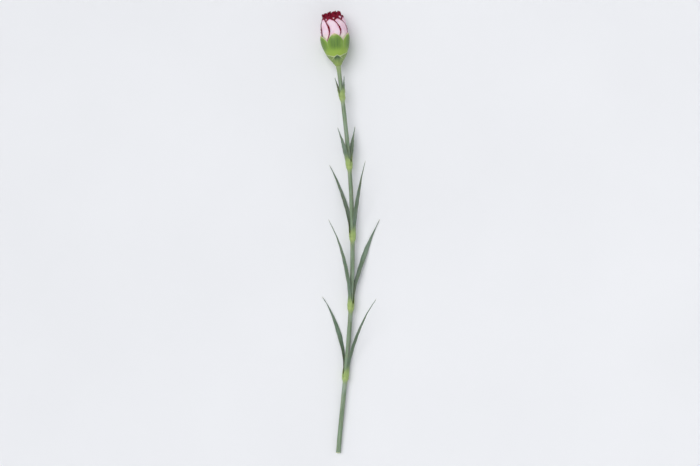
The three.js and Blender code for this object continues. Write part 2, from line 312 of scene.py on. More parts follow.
def stem_skin():
    dark_green = (0.118, 0.190, 0.104)
    light_green = (0.215, 0.300, 0.185)
    powdery_wax = (0.32, 0.39, 0.34)
    pale_dot = (0.50, 0.56, 0.42)
    material, tree, shader = new_material("stem_skin", 0.52, Subsurface_Weight=0.05, Coat_Weight=0.06)
    streak, _ = noise(object_place(tree, (0.9, 0.035, 0.9)), detail=4)
    wax, _ = noise(object_place(tree, (0.16, 0.045, 0.16)), detail=3)
    speck, _ = noise(object_place(tree, (2.6, 1.7, 2.6)), detail=1)
    green = colour_mix(tree, smooth(streak, -0.18, 0.2), dark_green, light_green)
    waxy = colour_mix(tree, smooth(wax, -0.05, 0.3) * 0.6, green, powdery_wax)
    lit = colour_mix(tree, kept(tree, "joint") * 0.9, waxy, JOINT_GREEN)
    dotted = colour_mix(tree, smooth(speck, 0.26, 0.36) * 0.35, lit, pale_dot)
    finish_surface(tree, shader, dotted, streak + wax * 0.5, 0.35)
    return material


def cut_pith():
    wet_green = (0.20, 0.33, 0.10)
    pale_flesh = (0.62, 0.68, 0.42)
    dull_core = (0.48, 0.50, 0.30)
    material, tree, shader = new_material("cut_pith", 0.45, Subsurface_Weight=0.2)
    strands, _ = noise(object_place(tree, (2.2, 2.2, 2.2)), detail=3)
    depth = kept(tree, "pith") + strands * 0.25
    flesh = colour_mix(tree, smooth(depth, 0.1, 0.45), wet_green, pale_flesh)
    core = colour_mix(tree, smooth(depth, 0.7, 0.95), flesh, dull_core)
    finish_surface(tree, shader, core, strands, 0.5)
    return material


stem_shape = triangles_of("stem")
stem_foot = stem_shape[..., 1].min()
stem_top = stem_shape[..., 1].max()
stations = np.arange(stem_foot + FIRST_STATION, stem_top - LAST_STATION, STATION_STEP)
rings = [section(stem_shape, (0, y, 0), (0, 1, 0)) for y in stations]
ring_middles = np.array([ring.mean(0) for ring in rings])
ring_radii = np.array([np.linalg.norm(r - m, axis=1).mean() for r, m in zip(rings, ring_middles)])
shaft_radius = float(np.median(ring_radii))
head_foot = float(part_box("bract_outer_top")[0].y * 1000)
peaks = [
    i
    for i in range(1, len(stations) - 1)
    if ring_radii[i] > JOINT_SWELLING * shaft_radius
    and ring_radii[i] >= ring_radii[i - 1 : i + 2].max()
    and stations[i] < head_foot
]
joints = stations[peaks]
joint_radius = float(ring_radii[peaks].max())
bow = np.polynomial.Polynomial.fit(stations, ring_middles[:, 0], 7)
rise = np.polynomial.Polynomial.fit(stations, ring_middles[:, 2], 3)


def stem_middle(y):
    return np.stack([bow(y), y, rise(y)], axis=-1)


def from_joints(y, below, above):
    """1 at a joint, falling off over the given reach on either side of it."""
    away = np.asarray(y, float)[..., None] - joints
    return np.exp(-((away / np.where(away < 0, below, above)) ** 2)).max(-1)


def stem_radius(y):
    """The shaft's radius at a place along it, with its joints and its neck."""
    share = (np.asarray(y, float) - stem_foot) / (head_foot - stem_foot)
    shaft = shaft_radius * (FOOT_GIRTH - STEM_TAPER * np.clip(share, 0, 1))
    flare = NECK_FLARE * np.exp(-(((np.asarray(y, float) - head_foot) / NECK_REACH) ** 2))
    swelling = (joint_radius - shaft_radius) * from_joints(y, JOINT_REACH_BELOW, JOINT_REACH_ABOVE)
    return shaft + flare + swelling


inside_head = np.clip((stations - head_foot) / 4, 0, 1)
stem_radii = stem_radius(stations) * (1 - inside_head) + ring_radii * inside_head
joint_glow = from_joints(stations, GLOW_REACH_BELOW, GLOW_REACH_ABOVE)
neck_glow = NECK_GLOW * np.exp(-(((stations - head_foot) / GLOW_REACH_ABOVE) ** 2))
stem_glow = np.maximum(joint_glow, neck_glow)

tree, (line, ribs, rib_depth, slant, cut_level, cut_middle) = shape_tree(
    "stem_shape", "Ribs", "Rib depth", "Cut slant", "Cut level", "Cut middle"
)
curve = Field(add_node(tree, "GeometryNodeMeshToCurve", {"Mesh": line}).outputs[0])
circle = add_node(tree, "GeometryNodeCurvePrimitiveCircle", {"Resolution": STEM_SIDES, "Radius": 1.0})
turn = Field(add_node(tree, "GeometryNodeSplineParameter").outputs["Factor"])
outline = kept_as(Field(circle.outputs[0]), "turn", turn)
girth = named(tree, "girth")
tube_inputs = {"Curve": curve, "Profile Curve": outline, "Scale": girth, "Fill Caps": True}
tube = Field(add_node(tree, "GeometryNodeCurveToMesh", tube_inputs).outputs[0])
normal = Field(add_node(tree, "GeometryNodeInputNormal").outputs[0])
here = Field(add_node(tree, "GeometryNodeInputPosition").outputs[0])
wander, _ = noise(stretched(here, 0.11), detail=2)
furrow = calc("COSINE", named(tree, "turn") * ribs * FULL_TURN) * rib_depth + wander * SKIN_WANDER
ribbed = moved(tube, offset=stretched(normal, furrow))
_, y, z = parts_of(here)
end_share = 1 - smooth(y - cut_level, 0.0, CUT_REACH)
cut = moved(ribbed, offset=point(tree, 0.0, (z - cut_middle) * slant * end_share, 0.0))
end_tree(cut, stem_skin())

stem_guide = guide_line(stem_middle(stations), girth=stem_radii, joint=stem_glow)
stem_sizes = {
    "Ribs": STEM_RIBS,
    "Rib depth": RIB_DEPTH,
    "Cut slant": KNIFE_SLANT,
    "Cut level": stations[0],
    "Cut middle": rise(stations[0]),
}
stem = grown("jointed_stem", tree, MILLIMETRE, stem_sizes, stem_guide)

# The knife's cut gets its rings: skin, flesh and pith.
stem.data.materials.append(cut_pith())
rings_of_cut = bmesh.new()
rings_of_cut.from_mesh(stem.data)
pith = rings_of_cut.verts.layers.float.new("pith")
cut_cap = min((f for f in rings_of_cut.faces if len(f.verts) > 4), key=lambda f: f.calc_center_median().y)
cut_cap.material_index = 1
cut_cap.smooth = False
for depth, width in CUT_RINGS:
    bmesh.ops.inset_individual(rings_of_cut, faces=[cut_cap], thickness=width)
    for corner in cut_cap.verts:
        corner[pith] = depth
poked = bmesh.ops.poke(rings_of_cut, faces=[cut_cap])
poked["verts"][0][pith] = 1.0
rings_of_cut.to_mesh(stem.data)
rings_of_cut.free()

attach(stem, "root")
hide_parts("stem")


# ---- Leaves ----
# The leaves are narrow, channelled and waxy, in opposite pairs. The feet of a pair are grown together
# into a yellow-green sheath round the joint, above which each blade opens and stands off the stem.

LEAF_ROWS = 90
LEAF_COLUMNS = 20
LEAF_THICKNESS = 0.55
LEAF_SECTIONS = 16  # read from each solid leaf, from its foot to its tip
WIDEST_SECTIONS = slice(4, 10)  # those in which a blade's width is looked for
LEAF_WAIST = 0.2  # share by which a blade is narrower above its sheath
LEAF_TIP_WIDTH = 0.12  # half width that is left at the tip
LEAF_CHANNEL = 3.2  # radius of a blade's hollow, in half widths
CHANNEL_DEPTH = 0.22  # of the sharper groove over the midrib
MIDRIB_EXTRA = 0.8  # how much thicker a leaf is at its midrib
EDGE_FLUTTER = 0.45
SHEATH_HALF_TURN = 1.56  # radians of the stem that a leaf's foot covers to each side
SHEATH_LENGTH = 9.0
SHEATH_MOST = 0.3  # of a short leaf's length
SHEATH_SINK = 0.08  # how far a sheath is let into its joint
SHEATH_ROOT = 0.45  # how much deeper it begins
SHEATH_OPENING = 0.75  # and how much it has widened where it comes out of the joint


def blend(share, start, end):
    return start + (end - start) * share


def sheet_of(tree, columns, rows):
    """A sheet with u from -1 to 1 across, v from 0 to 1 along, and a UV map."""
    size = {"Size X": 2.0, "Size Y": 1.0, "Vertices X": columns, "Vertices Y": rows}
    grid = add_node(tree, "GeometryNodeMeshGrid", size)
    x, y, _ = parts_of(Field(add_node(tree, "GeometryNodeInputPosition").outputs[0]))
    mapped = kept_as(Field(grid.outputs[0]), "UVMap", Field(grid.outputs[1]), "FLOAT2", "CORNER")
    sheet = kept_as(kept_as(mapped, "across", x), "along", y + 0.5)
    return sheet, named(tree, "across"), named(tree, "along")


def closed_shell(sheet, thickness, weld=0.0005):
    """Two faces that part by the thickness, and meet where it is nothing, at the sheet's edge."""
    tree = sheet.socket.id_data
    normal = Field(add_node(tree, "GeometryNodeInputNormal").outputs[0])
    front = moved(sheet, offset=stretched(normal, thickness * 0.5))
    turned = Field(add_node(tree, "GeometryNodeFlipFaces", {"Mesh": sheet}).outputs[0])
    back = moved(turned, offset=stretched(normal, thickness * 0.5))
    both = add_node(tree, "GeometryNodeJoinGeometry")
    tree.links.new(front.socket, both.inputs[0])
    tree.links.new(back.socket, both.inputs[0])
    merge = {"Geometry": Field(both.outputs[0]), "Distance": weld}
    return Field(add_node(tree, "GeometryNodeMergeByDistance", merge).outputs[0])


def edge_taper(u, v):
    """1 over a sheet's middle, and 0 along its whole edge."""
    return (1 - abs(u) ** 6) * (1 - abs(v * 2 - 1) ** 16)


def sampled(curve, factor, value=None):
    """What a curve has at a share of its length: its place, its direction, and a value it carries."""
    tree = factor.socket.id_data
    kind = "FLOAT_VECTOR" if value else "FLOAT"
    inputs = {"Curves": curve, "Factor": factor}
    if value:
        inputs["Value"] = value
    how = {"data_type": kind, "mode": "FACTOR", "use_all_curves": True}
    made = add_node(tree, "GeometryNodeSampleCurve", inputs, **how)
    return {socket.name: Field(socket) for socket in made.outputs if socket.enabled}


def leaf_skin():
    dark_green = (0.062, 0.118, 0.066)
    light_green = (0.125, 0.195, 0.118)
    powdery_wax = (0.215, 0.275, 0.225)
    midrib_green = (0.25, 0.33, 0.21)
    rim_green = (0.30, 0.38, 0.22)
    dry_tip = (0.36, 0.33, 0.13)
    material, tree, shader = new_material("leaf_skin", 0.5, Subsurface_Weight=0.04, Coat_Weight=0.05)
    u = kept(tree, "across")
    v = kept(tree, "along")
    grain, _ = noise(point(tree, u * 9, v * 5, v), detail=3)
    wax, _ = noise(object_place(tree, (0.12, 0.05, 0.12)), detail=3)
    veins = calc("COSINE", u * 28)
    green = colour_mix(tree, smooth(grain + veins * 0.06, -0.2, 0.22), dark_green, light_green)
    waxy = colour_mix(tree, smooth(wax, -0.12, 0.25) * 0.5, green, powdery_wax)
    rib = colour_mix(tree, (1 - smooth(abs(u), 0.02, 0.12)) * 0.35, waxy, midrib_green)
    rim = colour_mix(tree, smooth(abs(u), 0.88, 0.99) * 0.45, rib, rim_green)
    sheath = colour_mix(tree, kept(tree, "sheath") * 0.88, rim, JOINT_GREEN)
    tip = colour_mix(tree, smooth(v, 0.955, 1.0) * 0.7, sheath, dry_tip)
    finish_surface(tree, shader, tip, veins * 0.5 + grain, 0.4)
    return material


tree, (line, blade_half, sheath_radius, sheath_end, thickness, leaf_seed) = shape_tree(
    "leaf_shape", "Blade half width", "Sheath radius", "Sheath end", "Thickness", "Seed"
)
guide = Field(add_node(tree, "GeometryNodeMeshToCurve", {"Mesh": line}).outputs[0])
smooth_guide = add_node(tree, "GeometryNodeCurveSplineType", {"Curve": guide}, spline_type="CATMULL_ROM")
guide = Field(smooth_guide.outputs[0])
sheet, u, v = sheet_of(tree, LEAF_COLUMNS, LEAF_ROWS)
spot = sampled(guide, v)
side = vector_calc("NORMALIZE", sampled(guide, v, named(tree, "side", "FLOAT_VECTOR"))["Value"])
outward = vector_calc("NORMALIZE", vector_calc("CROSS_PRODUCT", side, spot["Tangent"]))
opened = smooth(v, sheath_end * 0.45, sheath_end * 1.7)
taper = 1 - smooth(v, 0.3, 1.0) ** 1.5
narrow_waist = 1 - LEAF_WAIST * (1 - smooth(v, 0.12, 0.36))
clasp = sheath_radius - SHEATH_ROOT + smooth(v, 0.0, sheath_end * 0.35) * SHEATH_OPENING
blade_width = blade_half * taper * narrow_waist + LEAF_TIP_WIDTH
half_width = blend(opened, clasp * SHEATH_HALF_TURN, blade_width)
radius = blend(opened, clasp, blade_half * LEAF_CHANNEL)
arc = half_width / radius
angle = u * arc
across_shift = radius * calc("SINE", angle)
in_shift = radius * (calc("COSINE", angle) - calc("SINE", arc) / arc)
rhythm, _ = noise(point(tree, v * 7, leaf_seed, u * 0.3))
flutter = rhythm * abs(u) * EDGE_FLUTTER * opened * smooth(1 - v, 0.0, 0.2)
valley = (1 - smooth(abs(u), 0.0, 0.16)) * CHANNEL_DEPTH * opened
sideways = stretched(side, across_shift)
inward = stretched(outward, in_shift + flutter + valley)
blade = moved(sheet, position=vector_calc("ADD", vector_calc("ADD", spot["Position"], sideways), inward))
blade = kept_as(blade, "sheath", 1 - smooth(v, sheath_end * 0.5, sheath_end * 2.1))
midrib = 1 + (1 - smooth(abs(u), 0.0, 0.25)) * MIDRIB_EXTRA
end_tree(closed_shell(blade, thickness * edge_taper(u, v) * midrib), leaf_skin())


def leaf_guide(node):
    """What a leaf's solid says: its line up from the joint, its width, its sheath and its length."""
    solid = triangles_of(node)
    corners = solid.reshape(-1, 3)
    foot = corners[corners[:, 1] < corners[:, 1].min() + 0.5].mean(0)
    tip = corners[corners[:, 1].argmax()]
    joint = joints[np.abs(joints - foot[1]).argmin()]
    direction = (tip - foot) / np.linalg.norm(tip - foot)
    shares = np.linspace(0.03, 0.97, LEAF_SECTIONS)
    cuts = [section(solid, foot + (tip - foot) * share, direction) for share in shares]
    middles = np.array([c.mean(0) for c in cuts])
    radial = middles[0] - stem_middle(middles[0][1])
    radial /= np.linalg.norm(radial)
    around = np.cross(direction, radial)
    sides, halves = [], []
    for cut_points, middle in zip(cuts, middles):
        axis = np.linalg.svd(cut_points - middle)[2][0]
        axis *= np.sign(axis @ (sides[-1] if sides else around))
        sides.append(axis)
        halves.append(np.ptp((cut_points - middle) @ axis) / 2)
    sheath_radius = float(stem_radius(joint + 0.5)) - SHEATH_SINK
    drawn_in = sheath_radius * np.sin(SHEATH_HALF_TURN) / SHEATH_HALF_TURN
    start = stem_middle(joint + 0.2) + radial * drawn_in
    line = np.vstack([start, middles, tip])
    sides = np.vstack([sides[0], sides, sides[-1]])
    length = np.linalg.norm(np.diff(line, axis=0), axis=1).sum()
    return guide_line(line, side=sides), max(halves[WIDEST_SECTIONS]), sheath_radius, length


leaf_tree = tree
for pair in range(1, 6):
    for hand in ("right", "left"):
        node = f"leaf_pair{pair}_{hand}"
        line, half, foot_radius, length = leaf_guide(node)
        sizes = {
            "Blade half width": half,
            "Sheath radius": foot_radius,
            "Sheath end": min(SHEATH_LENGTH / length, SHEATH_MOST),
            "Thickness": LEAF_THICKNESS,
            "Seed": pair * 3.1 + (hand == "left") * 7.7,
        }
        leaf = grown(f"waxy_{node}", leaf_tree, MILLIMETRE, sizes, line)
        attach(leaf, "root")
        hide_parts(node)


# ---- Epicalyx ----
# Four broad bracts clasp the foot of the calyx in two crossed pairs. They are thin and leafy, yellow-green
# with a pale papery rim, and the outer pair ends in a short darker blue-green point.

GOBLET_FULLNESS = 2.3
FOOT_SLOPE = 0.52  # how fast the goblet narrows below its foot
BRACT_COLUMNS = 61
BRACT_ROWS = 33
BRACT_THICKNESS = 0.4
BRACT_GAP = 0.12  # between a bract and the calyx that it clasps
BRACT_POINT = 1.35  # how sharply a bract rises to its point
OUTER_LIFT = 0.8
INNER_LIFT = 0.35
OUTER_POINT = 7.0  # height of a bract's point above its shoulders
INNER_POINT = 5.5

calyx_corners = triangles_of("calyx").reshape(-1, 3)
calyx_middle = calyx_corners.mean(0)
spreads = np.linalg.eigh(np.cov((calyx_corners - calyx_middle).T))[1].T
flower_axis = max(spreads, key=lambda direction: abs(direction[1]))
flower_axis *= np.sign(flower_axis[1])
head_right = np.cross(flower_axis, (0, 0, 1))
head_right /= np.linalg.norm(head_right)
head_up = np.cross(head_right, flower_axis)
axis_foot = calyx_middle + flower_axis * ((calyx_corners - calyx_middle) @ flower_axis).min()

# The head's own frame: X faces up, Y faces right and Z runs up the flower from the foot of the calyx.
head_place = Matrix.Identity(4)
for column, direction in enumerate((head_up, head_right, flower_axis)):
    for row in range(3):
        head_place[row][column] = direction[row]
head_place.translation = Vector(axis_foot)
head_place = MILLIMETRE @ head_place


def in_head(node):
    """A CAD node's corners about the flower's axis: radius, turn in radians, and height."""
    away = triangles_of(node).reshape(-1, 3) - axis_foot
    up, right, height = away @ head_up, away @ head_right, away @ flower_axis
    return np.hypot(up, right), np.arctan2(right, up), height


calyx_radii, calyx_turns, calyx_heights = in_head("calyx")
tooth_tip = float(calyx_heights.max())
mouth_radius = float(calyx_radii.max())
calyx_foot_radius = float(calyx_radii[calyx_heights < 0.05].max())


def goblet(height, foot_radius, mouth, tip):
    """The calyx's outer radius at a height above its foot, which the bracts clasp too."""
    below = 1 - calc("MAXIMUM", height, 0.0) / tip
    full = 1 - calc("MAXIMUM", below, 0.0) ** GOBLET_FULLNESS
    return foot_radius + (mouth - foot_radius) * full + calc("MINIMUM", height, 0.0) * FOOT_SLOPE


def around_axis(tree, radius, azimuth, height):
    return point(tree, radius * calc("COSINE", azimuth), radius * calc("SINE", azimuth), height)


def bract_skin():
    dark_green = (0.165, 0.255, 0.062)
    light_green = (0.315, 0.405, 0.125)
    point_green = (0.070, 0.128, 0.056)
    foot_green = (0.33, 0.44, 0.11)
    papery_rim = (0.66, 0.70, 0.45)
    material, tree, shader = new_material(
        "bract_skin", 0.5, Subsurface_Weight=0.05, Specular_IOR_Level=0.38
    )
    u = kept(tree, "across")
    v = kept(tree, "along")
    grain, _ = noise(point(tree, u * 14, v * 1.2, 0.0), detail=3)
    green = colour_mix(tree, smooth(grain, -0.2, 0.25), dark_green, light_green)
    point_share = smooth(v, 0.45, 0.85) * (1 - smooth(abs(u), 0.1, 0.42))
    dark = colour_mix(tree, point_share * kept(tree, "dark_point"), green, point_green)
    foot = colour_mix(tree, (1 - smooth(v, 0.1, 0.5)) * 0.7, dark, foot_green)
    rim = colour_mix(tree, (1 - smooth(kept(tree, "margin"), 0.25, 1.0)) * 0.8, foot, papery_rim)
    finish_surface(tree, shader, rim, grain, 0.35)
    return material


tree, (_, azimuth, half_turn, lift, foot, tip, shoulder, foot_radius, mouth, tooth, darkness) = shape_tree(
    "bract_shape", "Azimuth", "Half turn", "Lift", "Foot", "Tip", "Shoulder",
    "Calyx foot radius", "Calyx mouth radius", "Calyx tip", "Dark point",
)
sheet, u, v = sheet_of(tree, BRACT_COLUMNS, BRACT_ROWS)
peak = calc("MAXIMUM", 1 - abs(u), 0.0) ** BRACT_POINT
rim_height = blend(peak, shoulder, tip)
height = blend(v, foot, rim_height)
stand_off = lift * smooth(height, foot, foot + 5) * (1 - smooth(v, 0.5, 1.0) * 0.55) + BRACT_GAP
waver, _ = noise(point(tree, u * 3, azimuth, v))
radius = goblet(height, foot_radius, mouth, tooth) + stand_off + waver * v * 0.4
bract = moved(sheet, position=around_axis(tree, radius, azimuth + u * half_turn, height))
to_rim = (1 - v) * (rim_height - foot)
to_side = (1 - abs(u)) * half_turn * radius
bract = kept_as(bract, "margin", calc("MINIMUM", to_rim, to_side))
bract = kept_as(bract, "dark_point", darkness)
end_tree(closed_shell(bract, edge_taper(u, v) * BRACT_THICKNESS), bract_skin())

bract_tree = tree
for node in ("bract_inner_right", "bract_inner_left", "bract_outer_top", "bract_outer_bottom"):
    radii, turns, heights = in_head(node)
    facing = float(np.angle(np.exp(1j * turns).mean()))
    spread = float(np.abs(np.angle(np.exp(1j * (turns - facing)))).max())
    outer = "outer" in node
    sizes = {
        "Azimuth": facing,
        "Half turn": spread,
        "Lift": OUTER_LIFT if outer else INNER_LIFT,
        "Foot": heights.min(),
        "Tip": heights.max(),
        "Shoulder": heights.max() - (OUTER_POINT if outer else INNER_POINT),
        "Calyx foot radius": calyx_foot_radius,
        "Calyx mouth radius": mouth_radius,
        "Calyx tip": tooth_tip,
        "Dark point": 1.0 if outer else 0.15,
    }
    bract = grown(f"clasping_{node}", bract_tree, head_place, sizes)
    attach(bract, "root")
    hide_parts(node)


# ---- Calyx ----
# The calyx is a single leafy goblet of five sepals grown together, split at its mouth into five broad teeth
# with pale thin edges and brownish tips, which hold the petals as a cup holds them.

CALYX_COLUMNS = 241
CALYX_ROWS = 72
CALYX_THICKNESS = 0.8
TEETH = 5
TOOTH_ROUNDNESS = 1.7
TOOTH_CROWN = 0.55  # how much a tooth bulges in its middle
RIM_HUG = 0.35  # how far the rim draws in against the petals
HALF_CIRCLE = 3.14159  # in radians
SEAM_WELD = 0.03  # joins the two ends of the sheet, which meet at a notch


def calyx_skin():
    low_green = (0.325, 0.470, 0.066)
    high_green = (0.195, 0.325, 0.046)
    streak_green = (0.084, 0.168, 0.037)
    light_patch = (0.31, 0.43, 0.09)
    seam_green = (0.42, 0.52, 0.22)
    papery_rim = (0.68, 0.71, 0.44)
    brown_tip = (0.62, 0.50, 0.25)
    material, tree, shader = new_material(
        "calyx_skin", 0.46, Subsurface_Weight=0.06, Specular_IOR_Level=0.38
    )
    height = kept(tree, "rise")
    tooth_place = kept(tree, "tooth_place")
    streaks, _ = noise(point(tree, kept(tree, "turn") * 60, height * 1.2, 0.0), detail=4)
    cloud, _ = noise(object_place(tree, (0.11, 0.06, 0.11)), detail=3)
    half_way_up = smooth(height, 0.36, 0.58) * (1 - smooth(height, 0.76, 0.95))
    middle = (1 - smooth(abs(tooth_place), 0.3, 0.95)) * half_way_up
    base = colour_mix(tree, smooth(height, 0.26, 0.6), low_green, high_green)
    streaked = colour_mix(tree, middle * smooth(streaks, -0.42, 0.2) * 0.85, base, streak_green)
    varied = colour_mix(tree, smooth(cloud + streaks * 0.6, 0.0, 0.3) * 0.35, streaked, light_patch)
    seam = colour_mix(tree, kept(tree, "seam") * 0.5, varied, seam_green)
    rim = colour_mix(tree, (1 - smooth(kept(tree, "margin"), 0.2, 1.1)) * 0.85, seam, papery_rim)
    tip_share = smooth(height, 0.88, 0.99) * (1 - smooth(abs(tooth_place), 0.08, 0.42))
    tipped = colour_mix(tree, tip_share * 0.85, rim, brown_tip)
    ribs = calc("COSINE", kept(tree, "turn") * 440) * 0.12  # seventy fine ribs round the calyx
    finish_surface(tree, shader, tipped, streaks + cloud * 0.3 + ribs, 0.45)
    return material


tree, (_, foot_radius, mouth, tip, notch, facing, thickness) = shape_tree(
    "calyx_shape", "Foot radius", "Mouth radius", "Tooth tip", "Notch", "Facing", "Thickness"
)
sheet, u, v = sheet_of(tree, CALYX_COLUMNS, CALYX_ROWS)
turn = u * 0.5
place_in_tooth = (calc("FRACT", turn * TEETH + 10.5) - 0.5) * 2  # from -1 to 1 across each tooth
across_tooth = abs(place_in_tooth)
wobble, _ = noise(around_axis(tree, 2.2, u * HALF_CIRCLE, 4.0))
rim_height = blend(across_tooth**TOOTH_ROUNDNESS, tip, notch) + (1 - across_tooth) * (wobble * 1.6 - 0.3)
rim_height = rim_height + (1 - smooth(across_tooth, 0.0, 0.1)) * 0.3
height = v * rim_height
near_notch = smooth(across_tooth, 0.7, 1.0) * smooth(height, notch * 0.35, notch)
fullness = smooth(height, notch * 0.45, notch * 1.1)
lobes = calc("COSINE", place_in_tooth * HALF_CIRCLE) * TOOTH_CROWN * fullness
hug = smooth(v, 0.82, 1.0) * RIM_HUG
radius = goblet(height, foot_radius, mouth, tip) - thickness * 0.5 + lobes * 0.6 - hug - near_notch * 0.15
calyx = moved(sheet, position=around_axis(tree, radius, turn * FULL_TURN + facing, height))
calyx = kept_as(calyx, "rise", height / tip)
calyx = kept_as(calyx, "turn", turn)
calyx = kept_as(calyx, "tooth_place", place_in_tooth)
calyx = kept_as(calyx, "margin", (rim_height - height) * 0.8)
calyx = kept_as(calyx, "seam", smooth(across_tooth, 0.9, 1.0) * smooth(height, notch * 0.5, notch))
calyx_shell = closed_shell(calyx, thickness * (1 - abs(v * 2 - 1) ** 14), SEAM_WELD)
end_tree(calyx_shell, calyx_skin())

tooth_turns = calyx_turns[calyx_heights > tooth_tip - 0.01]
between_teeth = calyx_turns - tooth_turns[0] + np.pi / TEETH
at_notch = np.abs(np.angle(np.exp(1j * TEETH * between_teeth))) < 0.05
notch_height = float(calyx_heights[at_notch].max())
calyx_sizes = {
    "Foot radius": calyx_foot_radius,
    "Mouth radius": mouth_radius,
    "Tooth tip": tooth_tip,
    "Notch": notch_height,
    "Facing": float(tooth_turns[0]),
    "Thickness": CALYX_THICKNESS,
}
calyx_piece = grown("toothed_calyx", tree, head_place, calyx_sizes)
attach(calyx_piece, "root")
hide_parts("calyx")


# ---- Petals ----
# Forty petals stand packed in the calyx, each a narrow claw that widens into a fan. They are thin, velvety
# and white flushed with pink, overlap all one way, and have a saw-toothed margin stained crimson.

PETAL_THICKNESS = 0.34
PETAL_BULGE = 0.628  # share of a petal's length at which it is furthest out
CLAW_END = 0.2  # share of its length at which the claw starts to widen
FAN_START = PETAL_BULGE + 0.02  # and at which the blade has its full width
TOP_ROUNDING = 0.28  # how much shorter a petal is at its corners than in its middle
TOP_NARROWING = 0.3
FAN_CENTRE = 0.42  # share of a petal's length from which its fan spreads out
SAW_TEETH = 15  # for each radian of the fan
SIDE_BITE = 0.04  # depth of the teeth down a petal's sides, as a share of its half width
EDGE_CRIMP = 0.25
ROW_CROWDING = 1.35  # the rows of a petal's mesh lie closer together towards its tip


def petal_skin():
    pinkish_white = (0.86, 0.68, 0.755)
    blush = (0.80, 0.53, 0.64)
    vein_pink = (0.72, 0.42, 0.55)
    foot_cream = (0.84, 0.76, 0.55)
    claw_green = (0.66, 0.74, 0.42)
    dusky_streak = (0.36, 0.21, 0.29)
    red_speck = (0.50, 0.13, 0.24)
    flush_pink = (0.70, 0.22, 0.37)
    dark_crimson = (0.115, 0.0008, 0.009)
    bright_crimson = (0.290, 0.0040, 0.034)
    material, tree, shader = new_material(
        "petal_skin", 0.6, Subsurface_Weight=0.15, Subsurface_Scale=0.0015, Specular_IOR_Level=0.14
    )
    margin = kept(tree, "margin")
    share = kept(tree, "share")
    across = kept(tree, "across_mm")
    along = kept(tree, "along_mm")
    fan = kept(tree, "fan")
    seed = kept(tree, "petal_seed")
    stain_width = kept(tree, "stain_width")
    feather, _ = noise(point(tree, fan * 22, margin * 0.10, seed), detail=3, roughness=0.6)
    fine, _ = noise(point(tree, fan * 58, margin * 0.25, seed + 5), detail=2)
    patch, _ = noise(point(tree, across * 0.14, along * 0.10, seed), detail=2)
    vein, _ = noise(point(tree, across * 1.5, along * 0.09, seed + 9), detail=2)
    speck, _ = noise(point(tree, across * 1.6, along * 1.1, seed + 3), detail=1)
    streak, _ = noise(point(tree, across * 1.7, along * 0.22, seed + 12), detail=2)

    white = colour_mix(tree, smooth(patch, -0.15, 0.25), pinkish_white, blush)
    veined = colour_mix(tree, smooth(vein, 0.02, 0.3) * 0.4, white, vein_pink)
    cream = colour_mix(tree, (1 - smooth(share, 0.41, 0.62)) * 0.8, veined, foot_cream)
    green = colour_mix(tree, 1 - smooth(share, 0.2, 0.42), cream, claw_green)
    streak_zone = smooth(share, 0.58, 0.75) * smooth(margin, 2.0, 5.0)
    streaked = colour_mix(tree, smooth(streak, 0.16, 0.28) * streak_zone * 0.45, green, dusky_streak)
    specked = colour_mix(tree, smooth(speck, 0.24, 0.30) * 0.5, streaked, red_speck)
    flush_width = stain_width * 1.5 + 1.0 + feather * 5
    near_margin = 1 - smooth(margin / flush_width, 0.3, 1.0)
    flushed = colour_mix(tree, near_margin * 0.6, specked, flush_pink)
    band = stain_width + feather * 2.6 + fine * 1.2
    stained = (1 - smooth(margin - band, -0.35, 0.35)) * smooth(share, 0.33, 0.42)
    crimson = colour_mix(tree, smooth(fine + feather, -0.15, 0.3), dark_crimson, bright_crimson)
    finish_surface(tree, shader, colour_mix(tree, stained, flushed, crimson), vein + fine * 0.3, 0.35)
    return material


